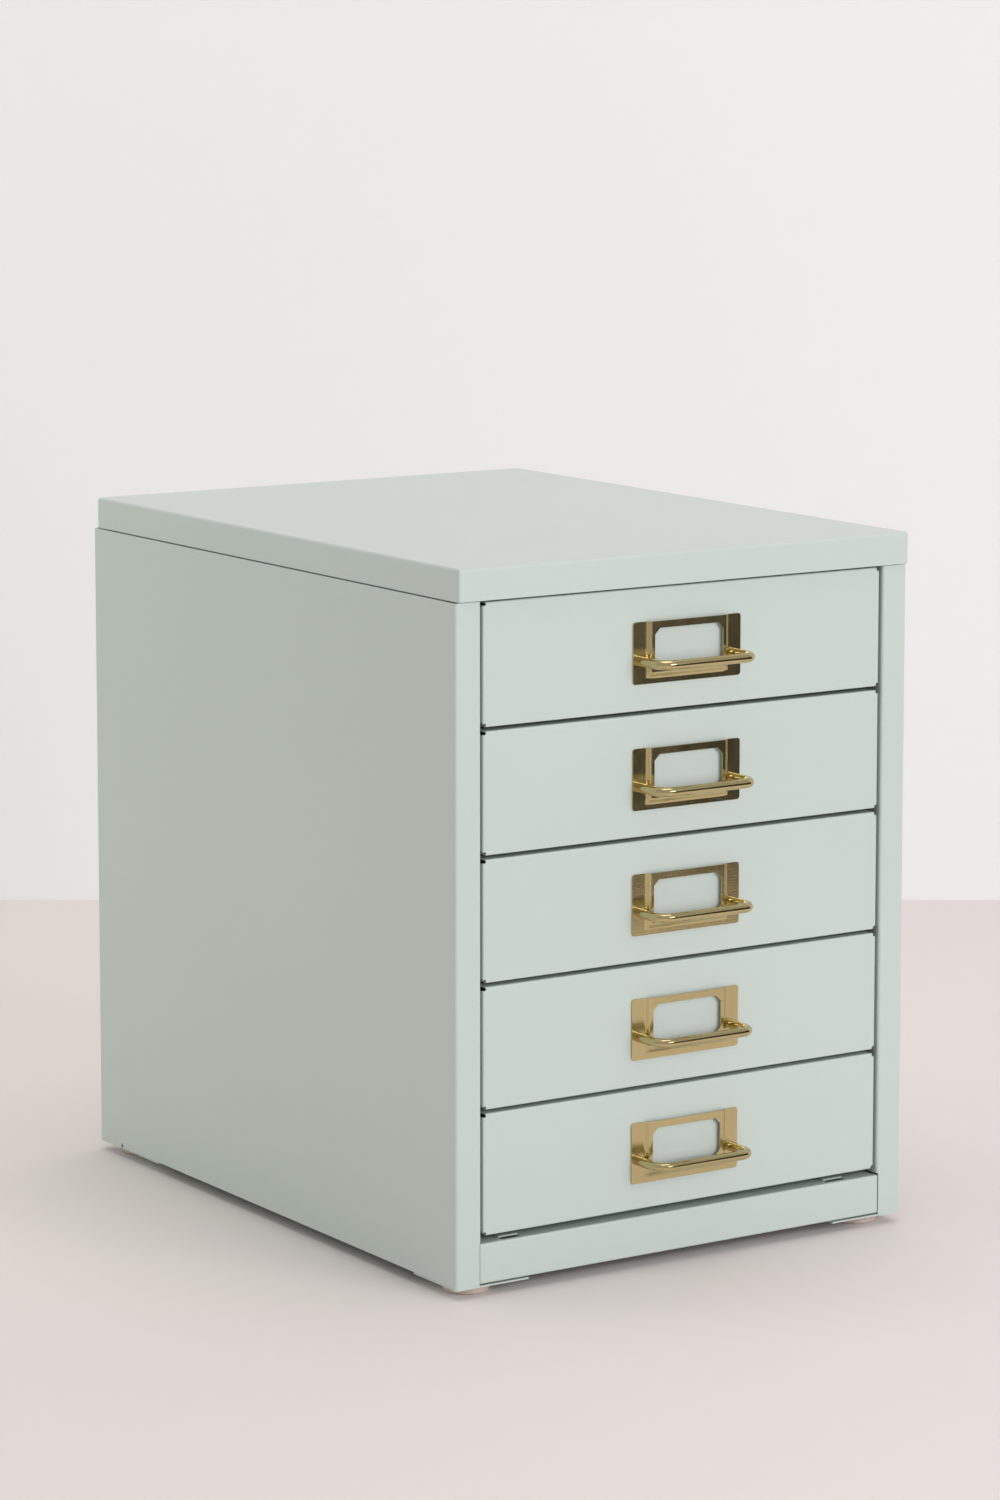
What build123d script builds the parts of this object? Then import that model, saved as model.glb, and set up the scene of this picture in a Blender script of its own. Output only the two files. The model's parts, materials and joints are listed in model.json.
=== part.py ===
"""Small desktop cabinet of folded sheet steel with five sliding drawers.

Millimetres, +Z up, -Y towards the person who pulls the drawers. The origin is on the
floor, in the middle of everything that the cabinet covers, handles included.
Drawers, runners and pulls are numbered from the top: 1 is the top drawer.
"""

import os

from build123d import *

# ---- Driving dimensions ----------------------------------------------------------
WIDTH = 280.0  # over the two side panels
BODY_DEPTH = 370.0  # front of the stiles to the back of the side panels
SIDE_HEIGHT = 347.1
SHEET = 0.8  # painted steel sheet
BEND = 1.6  # outer radius of the folds
TIGHT_BEND = 1.0  # outer radius where a fold shows at a gap between the drawers
FOOT_HEIGHT = 5.0
DRAWERS = 5
DRAWER_PITCH = 64.5
DRAWER_TRAVEL = 280.0

# Side panels
STILE = 15.35  # width of the front post that each side panel folds into
STILE_RETURN = 12.0
STILE_CUTBACK = 1.0  # the stile is this much narrower beside the bottom rail
REAR_FLANGE = 15.0
TOP_FLANGE = 22.0
TOP_FLANGE_START = 14.0  # clear of the returns of the top drawer front
TOP_FLANGE_END = 4.0  # clear of the rear flange
SILL = 1.1  # the side's lower edge stands this much above its foot plates
FOOT_PLATE = 44.0
FRONT_PLATE_DEPTH = 40.0
REAR_PLATE_DEPTH = 66.0
REAR_PLATE_FOLD = 25.0  # only this much of the rear foot plate is folded from the side
RELIEF = 1.3  # radius of the bend-relief hole

# Base panel: deck, bottom rail and their folds
RAIL_BOTTOM = 1.6
DECK_TOP = 22.2
RAIL_LEFT = 14.6  # from the left side panel's outer face
RAIL_RIGHT = 15.1  # from the right side panel's outer face
RAIL_RETURN = 12.0
RAIL_DEPTH = 14.0  # the deck is full width behind this
TAB_SPANS = ((-111.0, -99.5), (93.5, 105.5))  # lanced tabs, left and right
TAB_FRONT = 3.0
TAB_BACK = 8.4
TAB_RISE = 0.9

# Top cover and the rails that carry it
COVER_GAP = 0.6
COVER_HEIGHT = 16.6
COVER_INSET = 0.6
COVER_OVERHANG = 2.4
COVER_BACK = 367.0
COVER_RETURN = 10.0
TOP_RAIL_WIDTH = 24.0
TOP_RAIL_LENGTH = 254.0
FRONT_TOP_RAIL_Y = 12.0
REAR_TOP_RAIL_Y = 328.0

# Drawers
FRONT_WIDTH = 246.0
FRONT_HEIGHT = 62.5
FRONT_BOTTOM = 25.9  # lowest drawer front above the side panel's lower corner
FRONT_RECESS = 1.0
FRONT_RETURN = 10.0
FRONT_CORNER = 2.0
FRONT_NOTCH = 2.2  # the returns stop this far from each corner
CORNER_HOLE = 1.0  # radius of the relief hole that opens each corner of the face
CORNER_HOLE_INSET = 0.9
TRAY_HALF_WIDTH = 114.0
TRAY_BACK = 350.0
TRAY_HEIGHT = 46.0
FLANGE_REACH = 123.5
FLANGE_START = 12.5
LUG_WIDTH = 4.0
LUG_RISE = 1.8

# Runners: C sections spot-welded to the side panels
RUNNER_START = 14.0
RUNNER_END = 352.0
RUNNER_MOUTH = 3.6  # clear height between ledge and lip
LEDGE_REACH = 115.5
LIP_REACH = 117.0
RUNNER_PLAY = 0.1  # paint gap between the drawer flange and the ledge
STOP_DROP = 2.3
STOP_SPAN = (118.0, 124.0)
REAR_STOP_SPAN = (116.0, 123.0)
REAR_STOP_GAP = 0.4

# Pulls: an embossed label plate with a fixed bail through its two wings
PLATE_WIDTH = 66.5
PLATE_HEIGHT = 31.8
PLATE_DROP = 1.6  # plate centre below drawer front centre
PLATE_CORNER = 1.5
EMBOSS_WIDTH = 50.4
EMBOSS_RISE = 1.8
EMBOSS_FOOT = 3.3  # from the plate's lower edge to the embossed frame
EMBOSS_CORNER = 3.0
EMBOSS_SLOPE = 40.0  # degrees of its sides from square
WINDOW_WIDTH = 42.4
WINDOW_HEIGHT = 20.0
WINDOW_FOOT = 8.3
WINDOW_CHAMFER = 3.2
BAIL_RADIUS = 2.5
BAIL_BEND = 6.5
BAIL_HALF_WIDTH = 28.5
BAIL_STANDOFF = 20.0  # bar centre in front of the drawer front
BAIL_HEIGHT = 11.8  # bar centre above the plate's lower edge
LEG_HOLE_PLAY = 0.1
TAP_RADIUS = 1.6
TAP_DEPTH = 10.0
SCREW_RADIUS = 1.5
SCREW_HOLE = 1.7
SCREW_LENGTH = 10.0
SCREW_HEAD_RADIUS = 2.9
SCREW_HEAD = 2.0

# Feet and fasteners
FOOT_RADIUS = 12.5
FOOT_TAPER = 1.0
FOOT_BEVEL = 0.8
FOOT_INSET = 17.0
RIVET_RADIUS = 1.6
RIVET_HEAD_RADIUS = 3.2
RIVET_HEAD = 0.9
RIVET_HEIGHTS = (32.0, 126.0, 220.0, 314.0)
COVER_SCREW_RADIUS = 1.9
COVER_SCREW_HOLE = 2.1
COVER_SCREW_X = 122.5
COVER_SCREW_REACH = 4.0  # thread above the top rail's lower flange

# ---- Places that follow from them ------------------------------------------------
PULL_REACH = BAIL_STANDOFF - FRONT_RECESS + BAIL_RADIUS
FRONT = -(BODY_DEPTH + PULL_REACH + RIVET_HEAD) / 2 + PULL_REACH
BACK = FRONT + BODY_DEPTH
SIDE = WIDTH / 2
WALL = SIDE - SHEET  # inner face of a side panel
SIDE_TOP = FOOT_HEIGHT + SIDE_HEIGHT
COVER_BOTTOM = SIDE_TOP + COVER_GAP
COVER_TOP = COVER_BOTTOM + COVER_HEIGHT


def block(x0, x1, y0, y1, z0, z1):
    """A plain box between two corners."""
    corner = Box(x1 - x0, y1 - y0, z1 - z0, align=(Align.MIN, Align.MIN, Align.MIN))
    return Pos(x0, y0, z0) * corner


def rod(radius, start, length, axis):
    """A round bar that starts at a point and runs along an axis."""
    plane = Plane(origin=start, z_dir=axis)
    return plane * Cylinder(radius, length, align=(Align.CENTER, Align.CENTER, Align.MIN))


def folded_strip(points, side, bend=BEND):
    """Section of a sheet folded along outer corner points, one sheet thick."""
    outer = FilletPolyline(*points, radius=bend)
    return make_face(offset(outer, amount=SHEET, side=side, closed=True))


def mirrored(part):
    """The same piece for the right-hand side."""
    return mirror(part, about=Plane.YZ)


# ---- Carcass ---------------------------------------------------------------------
def side_panel():
    """Left side: wall, front stile with its return, rear flange, top flange, foot plates."""
    plan = [
        (-SIDE + REAR_FLANGE, BACK),
        (-SIDE, BACK),
        (-SIDE, FRONT),
        (-SIDE + STILE, FRONT),
        (-SIDE + STILE, FRONT + STILE_RETURN),
    ]
    section = folded_strip(plan, Side.LEFT)
    panel = extrude(Pos(0, 0, FOOT_HEIGHT) * section, amount=SIDE_HEIGHT, dir=(0, 0, 1))

    # The stile is cut back beside the bottom rail, where it has no return.
    rail_top = FOOT_HEIGHT + DECK_TOP + STILE_CUTBACK
    panel -= block(
        -SIDE + STILE - STILE_CUTBACK,
        -SIDE + STILE + SHEET,
        FRONT - SHEET,
        FRONT + STILE_RETURN + SHEET,
        FOOT_HEIGHT - SHEET,
        rail_top,
    )
    panel -= block(
        -SIDE + BEND,
        -SIDE + STILE,
        FRONT + SHEET,
        FRONT + STILE_RETURN + SHEET,
        FOOT_HEIGHT - SHEET,
        rail_top,
    )

    # The wall ends above the foot plates, but for the stretch that folds into the rear one.
    fold_front = BACK - REAR_PLATE_FOLD
    panel -= block(
        -SIDE - SHEET, -WALL + SHEET, FRONT + 2 * BEND, fold_front, 0, FOOT_HEIGHT + SILL
    )
    relief_centre = (-SIDE - SHEET, fold_front, FOOT_HEIGHT + SILL + RELIEF / 2)
    panel -= rod(RELIEF, relief_centre, 3 * SHEET, (1, 0, 0))

    front_plate = block(
        -SIDE + SHEET / 2,
        -SIDE + FOOT_PLATE,
        FRONT + SHEET / 2,
        FRONT + FRONT_PLATE_DEPTH,
        FOOT_HEIGHT,
        FOOT_HEIGHT + SHEET,
    )
    rear_plate = block(
        -SIDE + SHEET / 2,
        -SIDE + FOOT_PLATE,
        BACK - REAR_PLATE_DEPTH,
        BACK - 2 * SHEET,
        FOOT_HEIGHT,
        FOOT_HEIGHT + SHEET,
    )
    top_flange = block(
        -SIDE + SHEET / 2,
        -SIDE + TOP_FLANGE,
        FRONT + TOP_FLANGE_START,
        BACK - TOP_FLANGE_END,
        SIDE_TOP - SHEET,
        SIDE_TOP,
    )
    panel += front_plate + rear_plate + top_flange
    for y in (top_rail_centre(FRONT_TOP_RAIL_Y), top_rail_centre(REAR_TOP_RAIL_Y)):
        centre = (-COVER_SCREW_X, y, SIDE_TOP - 2 * SHEET)
        panel -= rod(COVER_SCREW_HOLE, centre, 3 * SHEET, (0, 0, 1))
    for height in RIVET_HEIGHTS:
        panel -= rod(RIVET_RADIUS, (-rivet_x(), BACK - 2 * SHEET, height), 3 * SHEET, (0, 1, 0))
    return panel


def rivet_x():
    """Half the distance between the two rows of rivets in the back."""
    return SIDE - REAR_FLANGE / 2


def top_rail_centre(start):
    """Middle of a top rail that starts this far behind the stiles."""
    return FRONT + start + TOP_RAIL_WIDTH / 2


def back_panel():
    """Flat sheet behind the drawers, on the inner faces of the rear flanges."""
    panel = block(
        -WALL + BEND,
        WALL - BEND,
        BACK - 2 * SHEET,
        BACK - SHEET,
        FOOT_HEIGHT + RAIL_BOTTOM,
        SIDE_TOP,
    )
    for x in (-rivet_x(), rivet_x()):
        for height in RIVET_HEIGHTS:
            panel -= rod(RIVET_RADIUS, (x, BACK - 3 * SHEET, height), 3 * SHEET, (0, 1, 0))
    return panel


def back_rivets():
    """Low rivets that hold the back panel to the rear flanges."""
    rivets = []
    for x in (-rivet_x(), rivet_x()):
        for height in RIVET_HEIGHTS:
            head = Plane(origin=(x, BACK, height), z_dir=(0, 1, 0)) * Cylinder(
                RIVET_HEAD_RADIUS, RIVET_HEAD, align=(Align.CENTER, Align.CENTER, Align.MIN)
            )
            head = chamfer(head.edges().sort_by(Axis.Y)[-1], RIVET_HEAD * 0.6)
            shank = rod(RIVET_RADIUS, (x, BACK - 3 * SHEET, height), 3 * SHEET, (0, 1, 0))
            rivets.append(head + shank)
    return rivets


def base_panel():
    """Deck under the lowest drawer, folded down into the bottom rail and the other walls."""
    section = [
        (FRONT + RAIL_RETURN, FOOT_HEIGHT + RAIL_BOTTOM),
        (FRONT, FOOT_HEIGHT + RAIL_BOTTOM),
        (FRONT, FOOT_HEIGHT + DECK_TOP),
        (BACK - 2 * SHEET, FOOT_HEIGHT + DECK_TOP),
        (BACK - 2 * SHEET, FOOT_HEIGHT + RAIL_BOTTOM),
    ]
    face = Plane.YZ * folded_strip(section, Side.RIGHT, TIGHT_BEND)
    panel = extrude(Pos(-WALL, 0, 0) * face, amount=2 * WALL, dir=(1, 0, 0))
    for x in (-WALL, WALL - SHEET):
        panel += block(
            x,
            x + SHEET,
            FRONT + RAIL_DEPTH,
            BACK - 2 * SHEET - TIGHT_BEND,
            FOOT_HEIGHT + RAIL_BOTTOM,
            FOOT_HEIGHT + DECK_TOP,
        )
    # The rail stands between the stiles, so both front corners of the deck are cut away.
    for x0, x1 in ((-SIDE, -SIDE + RAIL_LEFT), (SIDE - RAIL_RIGHT, SIDE)):
        panel -= block(x0, x1, FRONT - SHEET, FRONT + RAIL_DEPTH, 0, FOOT_HEIGHT + DECK_TOP + SHEET)
    for x0, x1 in TAB_SPANS:
        deck_top = FOOT_HEIGHT + DECK_TOP
        panel -= block(
            x0, x1, FRONT + TAB_FRONT, FRONT + TAB_BACK, deck_top - 2 * SHEET, deck_top + SHEET
        )
        tab_front = FRONT + (TAB_FRONT + TAB_BACK) / 2
        tab_top = deck_top + TAB_RISE
        panel += block(x0, x1, tab_front, FRONT + TAB_BACK + SHEET, tab_top - SHEET, tab_top)
        panel += block(
            x0, x1, FRONT + TAB_BACK, FRONT + TAB_BACK + SHEET, deck_top - SHEET, tab_top
        )
    return panel


def top_cover():
    """Lid: a folded tray turned over, with a narrow return round its lower edge."""
    half = SIDE - COVER_INSET
    front, back = FRONT - COVER_OVERHANG, FRONT + COVER_BACK
    outer = block(-half, half, front, back, COVER_BOTTOM, COVER_TOP)
    outer = fillet(outer.edges().filter_by(Axis.Z), BEND)
    outer = fillet(outer.faces().sort_by(Axis.Z)[-1].edges(), BEND * 0.99)
    inner = block(
        -half + SHEET,
        half - SHEET,
        front + SHEET,
        back - SHEET,
        COVER_BOTTOM + SHEET,
        COVER_TOP - SHEET,
    )
    inner = fillet(inner.edges().filter_by(Axis.Z), BEND - SHEET)
    mouth = block(
        -half + COVER_RETURN,
        half - COVER_RETURN,
        front + COVER_RETURN,
        back - COVER_RETURN,
        COVER_BOTTOM - SHEET,
        COVER_BOTTOM + 2 * SHEET,
    )
    return outer - inner - mouth


def top_rail(start):
    """C section across the top flanges. The cover lies on it."""
    y0 = FRONT + start
    height = COVER_TOP - SHEET
    section = [
        (y0 + TOP_RAIL_WIDTH, SIDE_TOP),
        (y0, SIDE_TOP),
        (y0, height),
        (y0 + TOP_RAIL_WIDTH, height),
    ]
    face = Plane.YZ * folded_strip(section, Side.RIGHT)
    rail = extrude(Pos(-TOP_RAIL_LENGTH / 2, 0, 0) * face, amount=TOP_RAIL_LENGTH, dir=(1, 0, 0))
    for x in (-COVER_SCREW_X, COVER_SCREW_X):
        centre = (x, top_rail_centre(start), SIDE_TOP - SHEET)
        rail -= rod(COVER_SCREW_HOLE, centre, 3 * SHEET, (0, 0, 1))
    return rail


def top_screws():
    """Pan-head screws from below, through the top flanges into the two top rails."""
    screws = []
    under = SIDE_TOP - SHEET
    for start in (FRONT_TOP_RAIL_Y, REAR_TOP_RAIL_Y):
        for x in (-COVER_SCREW_X, COVER_SCREW_X):
            y = top_rail_centre(start)
            head = rod(2 * COVER_SCREW_RADIUS, (x, y, under - SCREW_HEAD), SCREW_HEAD, (0, 0, 1))
            head = chamfer(head.edges().sort_by(Axis.Z)[0], SCREW_HEAD / 2)
            reach = 2 * SHEET + COVER_SCREW_REACH
            screws.append(head + rod(COVER_SCREW_RADIUS, (x, y, under), reach, (0, 0, 1)))
    return screws


def foot(x, y):
    """Round rubber bumper under a foot plate."""
    profile = Polyline(
        (0, 0),
        (FOOT_RADIUS - FOOT_TAPER, 0),
        (FOOT_RADIUS, FOOT_HEIGHT),
        (0, FOOT_HEIGHT),
        close=True,
    )
    bumper = revolve(Plane.XZ * make_face(profile), Axis.Z)
    bumper = chamfer(bumper.edges().filter_by(GeomType.CIRCLE).sort_by(Axis.Z)[0], FOOT_BEVEL)
    return Pos(x, y, 0) * bumper


# ---- Drawers ---------------------------------------------------------------------
def drawer_bottom(number):
    """Height of a drawer front's lower edge above the floor."""
    return FOOT_HEIGHT + FRONT_BOTTOM + (DRAWERS - number) * DRAWER_PITCH


def ledge_top(number):
    """Height of the runner surface that a drawer's side flanges slide on."""
    return drawer_bottom(number) + TRAY_HEIGHT - RUNNER_PLAY


def pull_screw_places(number):
    """The two points, in the plane of the drawer front, where a bail is fixed."""
    z = plate_foot(number) + BAIL_HEIGHT
    return [(x, FRONT + FRONT_RECESS, z) for x in (-BAIL_HALF_WIDTH, BAIL_HALF_WIDTH)]


def plate_foot(number):
    """Height of the lower edge of a label plate."""
    return drawer_bottom(number) + (FRONT_HEIGHT - PLATE_HEIGHT) / 2 - PLATE_DROP


def runner(number):
    """Left runner of a drawer: ledge, web and lip, with a stop tab at each end."""
    ledge = ledge_top(number)
    lip = ledge + RUNNER_MOUTH
    section = [
        (-LEDGE_REACH, ledge - SHEET),
        (-WALL, ledge - SHEET),
        (-WALL, lip + SHEET),
        (-LIP_REACH, lip + SHEET),
    ]
    face = Plane.XZ * folded_strip(section, Side.RIGHT)
    start = FRONT + RUNNER_START
    rail = extrude(Pos(0, start, 0) * face, amount=RUNNER_END - RUNNER_START, dir=(0, 1, 0))
    near, far = STOP_SPAN
    rail += block(-far, -near, start, start + SHEET, lip - STOP_DROP, lip + SHEET / 2)
    near, far = REAR_STOP_SPAN
    rear = FRONT + TRAY_BACK + REAR_STOP_GAP
    rail += block(-far, -near, rear, rear + SHEET, ledge - SHEET / 2, lip + SHEET / 2)
    return rail


def drawer_tray(number):
    """Open tray with a flange along each side, which slides in the runners."""
    foot_z = drawer_bottom(number) + SHEET
    top = foot_z + TRAY_HEIGHT
    front = FRONT + FRONT_RECESS + SHEET
    back = FRONT + TRAY_BACK
    tray = block(-TRAY_HALF_WIDTH, TRAY_HALF_WIDTH, front, back, foot_z, top)
    tray = fillet(tray.edges().filter_by(Axis.Z), BEND)
    tray = fillet(tray.faces().sort_by(Axis.Z)[0].edges(), BEND * 0.99)
    inside = block(
        -TRAY_HALF_WIDTH + SHEET,
        TRAY_HALF_WIDTH - SHEET,
        front + SHEET,
        back - SHEET,
        foot_z + SHEET,
        top + BEND,
    )
    inside = fillet(inside.edges().filter_by(Axis.Z), BEND - SHEET)
    tray -= fillet(inside.faces().sort_by(Axis.Z)[0].edges(), (BEND - SHEET) * 0.98)
    lug = FRONT + RUNNER_START + SHEET + DRAWER_TRAVEL + RUNNER_PLAY
    flange = block(
        -FLANGE_REACH,
        -TRAY_HALF_WIDTH + SHEET / 2,
        FRONT + FLANGE_START,
        back - BEND,
        top - SHEET,
        top,
    )
    flange += block(
        -FLANGE_REACH, -FLANGE_REACH + LUG_WIDTH, lug, lug + SHEET, top - SHEET / 2, top + LUG_RISE
    )
    tray += flange
    tray += mirrored(flange)
    for place in pull_screw_places(number):
        tray -= rod(SCREW_HOLE, place, 3 * SHEET, (0, 1, 0))
    return tray


def drawer_front(number):
    """Folded pan: the face with four returns. A relief hole opens each corner of the face."""
    z0 = drawer_bottom(number)
    z1 = z0 + FRONT_HEIGHT
    half = FRONT_WIDTH / 2
    face_y = FRONT + FRONT_RECESS
    back_y = face_y + FRONT_RETURN
    pan = block(-half, half, face_y, back_y, z0, z1)
    pan = fillet(pan.edges().filter_by(Axis.Y), FRONT_CORNER)
    pan = fillet(pan.faces().sort_by(Axis.Y)[0].edges(), TIGHT_BEND)
    pan -= block(
        -half + SHEET, half - SHEET, face_y + SHEET, back_y + SHEET, z0 + SHEET, z1 - SHEET
    )
    for x in (-half, half - FRONT_NOTCH):
        for z in (z0, z1 - FRONT_NOTCH):
            pan -= block(
                x, x + FRONT_NOTCH, face_y + TIGHT_BEND, back_y + SHEET, z, z + FRONT_NOTCH
            )
    for x in (-half + CORNER_HOLE_INSET, half - CORNER_HOLE_INSET):
        for z in (z0 + CORNER_HOLE_INSET, z1 - CORNER_HOLE_INSET):
            pan -= rod(CORNER_HOLE, (x, face_y - SHEET, z), 3 * SHEET, (0, 1, 0))
    for place in pull_screw_places(number):
        pan -= rod(SCREW_HOLE, (place[0], place[1] - SHEET, place[2]), 3 * SHEET, (0, 1, 0))
    return pan


# ---- Pulls -----------------------------------------------------------------------
def emboss(number, inset, depth):
    """Tapered body of the embossed frame. It runs out over the plate's upper edge."""
    half = EMBOSS_WIDTH / 2 - inset
    foot_z = plate_foot(number) + EMBOSS_FOOT + inset
    height = PLATE_HEIGHT + EMBOSS_CORNER
    outline = Pos(0, foot_z + height / 2) * Rectangle(2 * half, height)
    outline = fillet(outline.vertices().group_by(Axis.Y)[0], EMBOSS_CORNER - inset)
    base = Plane(origin=(0, FRONT + FRONT_RECESS, 0), x_dir=(1, 0, 0), z_dir=(0, -1, 0))
    return extrude(base * outline, amount=depth, taper=EMBOSS_SLOPE)


def window(number):
    """Chamfered window that shows the label, cut through the embossed frame."""
    centre_z = plate_foot(number) + WINDOW_FOOT + WINDOW_HEIGHT / 2
    outline = Pos(0, centre_z) * Rectangle(WINDOW_WIDTH, WINDOW_HEIGHT)
    outline = chamfer(outline.vertices(), WINDOW_CHAMFER)
    base = Plane(origin=(0, FRONT + FRONT_RECESS, 0), x_dir=(1, 0, 0), z_dir=(0, -1, 0))
    return extrude(base * outline, amount=EMBOSS_RISE + 3 * SHEET, both=True)


def label_plate(number):
    """Pressed plate: two flat wings and a raised, windowed frame that is open at the top."""
    foot_z = plate_foot(number)
    top_z = foot_z + PLATE_HEIGHT
    back_y = FRONT + FRONT_RECESS
    plate = block(-PLATE_WIDTH / 2, PLATE_WIDTH / 2, back_y - SHEET, back_y, foot_z, top_z)
    plate = fillet(plate.edges().filter_by(Axis.Y), PLATE_CORNER)
    plate += emboss(number, 0, EMBOSS_RISE + SHEET)
    plate -= emboss(number, SHEET, EMBOSS_RISE)
    plate -= window(number)
    plate -= block(
        -PLATE_WIDTH, PLATE_WIDTH, back_y - PLATE_WIDTH, back_y + SHEET, top_z, top_z + PLATE_WIDTH
    )
    for x, y, z in pull_screw_places(number):
        hole = BAIL_RADIUS + LEG_HOLE_PLAY
        plate -= rod(hole, (x, y - PLATE_HEIGHT, z), PLATE_HEIGHT + SHEET, (0, 1, 0))
    return plate


def bail_handle(number):
    """Round bar bent square at both ends. Its legs are tapped and screwed from inside."""
    left, right = pull_screw_places(number)
    bar_y = left[1] - BAIL_STANDOFF
    path = FilletPolyline(
        left, (left[0], bar_y, left[2]), (right[0], bar_y, right[2]), right, radius=BAIL_BEND
    )
    bar = sweep(Plane(origin=left, z_dir=(0, -1, 0)) * Circle(BAIL_RADIUS), path=path)
    for place in (left, right):
        bar -= rod(TAP_RADIUS, place, TAP_DEPTH, (0, -1, 0))
    return bar


def pull_screws(number):
    """Pan-head screws from inside the drawer into the legs of the bail."""
    screws = []
    for x, y, z in pull_screw_places(number):
        inside_y = y + 2 * SHEET
        head = rod(SCREW_HEAD_RADIUS, (x, inside_y, z), SCREW_HEAD, (0, 1, 0))
        head = chamfer(head.edges().sort_by(Axis.Y)[-1], SCREW_HEAD / 2)
        screws.append(head + rod(SCREW_RADIUS, (x, inside_y, z), SCREW_LENGTH, (0, -1, 0)))
    return screws


# ---- Nodes -----------------------------------------------------------------------
def build_nodes():
    """Every separate piece, by the name of its node."""
    left_panel = side_panel()
    nodes = {
        "left_side_panel": left_panel,
        "right_side_panel": mirrored(left_panel),
        "back_panel": back_panel(),
        "back_rivets": back_rivets(),
        "base_panel": base_panel(),
        "top_cover": top_cover(),
        "front_top_rail": top_rail(FRONT_TOP_RAIL_Y),
        "rear_top_rail": top_rail(REAR_TOP_RAIL_Y),
        "top_screws": top_screws(),
    }
    for side, x in (("left", -SIDE + FOOT_INSET), ("right", SIDE - FOOT_INSET)):
        nodes["foot_front_" + side] = foot(x, FRONT + FOOT_INSET)
        nodes["foot_rear_" + side] = foot(x, BACK - FOOT_INSET)
    for number in range(1, DRAWERS + 1):
        left_runner = runner(number)
        nodes[f"left_runner_{number}"] = left_runner
        nodes[f"right_runner_{number}"] = mirrored(left_runner)
        nodes[f"drawer_tray_{number}"] = drawer_tray(number)
        nodes[f"drawer_front_{number}"] = drawer_front(number)
        nodes[f"label_plate_{number}"] = label_plate(number)
        nodes[f"bail_handle_{number}"] = bail_handle(number)
        nodes[f"pull_screws_{number}"] = pull_screws(number)
    return nodes


def main():
    """Write one file for each node."""
    os.makedirs("parts", exist_ok=True)
    for name, shape in build_nodes().items():
        solids = shape if isinstance(shape, list) else shape.solids()
        export_step(Compound(label=name, children=list(solids)), f"parts/{name}.step")


main()
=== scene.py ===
"""Finish, pulls and small parts of a desktop drawer cabinet, around its fixed steelwork.

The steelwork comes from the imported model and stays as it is. This script paints it, models
the brass pulls, the screws, the rivets and the rubber feet, and sets a plain pale stage.
All lengths are in metres. +Z is up, and the drawers open towards -Y.
"""

import json
import math

import bmesh
import bpy
from mathutils import Matrix, Vector


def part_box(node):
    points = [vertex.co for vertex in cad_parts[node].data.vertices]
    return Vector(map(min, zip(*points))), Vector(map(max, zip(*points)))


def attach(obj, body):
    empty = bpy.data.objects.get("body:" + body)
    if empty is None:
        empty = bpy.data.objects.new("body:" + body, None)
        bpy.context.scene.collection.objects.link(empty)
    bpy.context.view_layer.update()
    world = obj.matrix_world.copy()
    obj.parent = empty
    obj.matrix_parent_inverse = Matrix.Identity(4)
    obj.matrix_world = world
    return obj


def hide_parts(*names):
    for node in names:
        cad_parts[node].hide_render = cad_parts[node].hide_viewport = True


bl_info = {
    "name": "Steel drawer cabinet finish",
    "version": (1, 0, 0),
    "blender": (4, 5, 0),
    "location": "View3D > Sidebar > Cabinet",
    "description": "Paints a folded steel drawer cabinet and models its brass pulls and small parts",
    "category": "Object",
}

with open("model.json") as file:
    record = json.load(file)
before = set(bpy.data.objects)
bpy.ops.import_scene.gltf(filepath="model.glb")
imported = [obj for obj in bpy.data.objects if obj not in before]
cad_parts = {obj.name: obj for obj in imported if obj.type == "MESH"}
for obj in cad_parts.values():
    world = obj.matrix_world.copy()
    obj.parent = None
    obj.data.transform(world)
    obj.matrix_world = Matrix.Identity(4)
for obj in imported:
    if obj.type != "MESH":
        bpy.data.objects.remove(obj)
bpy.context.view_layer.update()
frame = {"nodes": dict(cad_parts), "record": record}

MM = 0.001
TINY = 0.01 * MM  # tolerance when parts of a mesh are picked by their place
DRAWERS = range(1, 6)
RIGHT_ANGLE = math.pi / 2
ROUND_SIDES = 32  # of bars, screws and rivets

# Surface patterns. Widths and depths are in mm, and tones are shares of a colour.
PAINT_CLOUD_WIDTH = 150.0
PAINT_TONES = (0.985, 1.015)
PAINT_ROUGHNESS_PLAY = 0.02
PEEL_DEPTH = 0.01
BRASS_TONES = (0.95, 1.05)
BRASS_ROUGHNESS_SHARES = (0.8, 1.25)
HANDLING_WIDTH = 9.0
GRAIN_STRETCH = 0.04  # the buffing lines are 25 times as long as they are wide
ZINC_TONES = (0.85, 1.05)
ZINC_ROUGHNESS = (0.29, 0.42)
ZINC_CLOUD_WIDTH = 1.4
ZINC_CLOUD_DEPTH = 0.02
RUBBER_TONES = (0.88, 1.06)
RUBBER_ROUGHNESS = (0.4, 0.65)
DUST_WIDTH = 3.0
DUST_DEPTH = 0.05
STAGE_ROUGHNESS = 0.85

# Holes for the legs of the bars
HOLE_PLAY = 0.02 * MM
DRILL_LENGTH = 20 * MM

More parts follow.
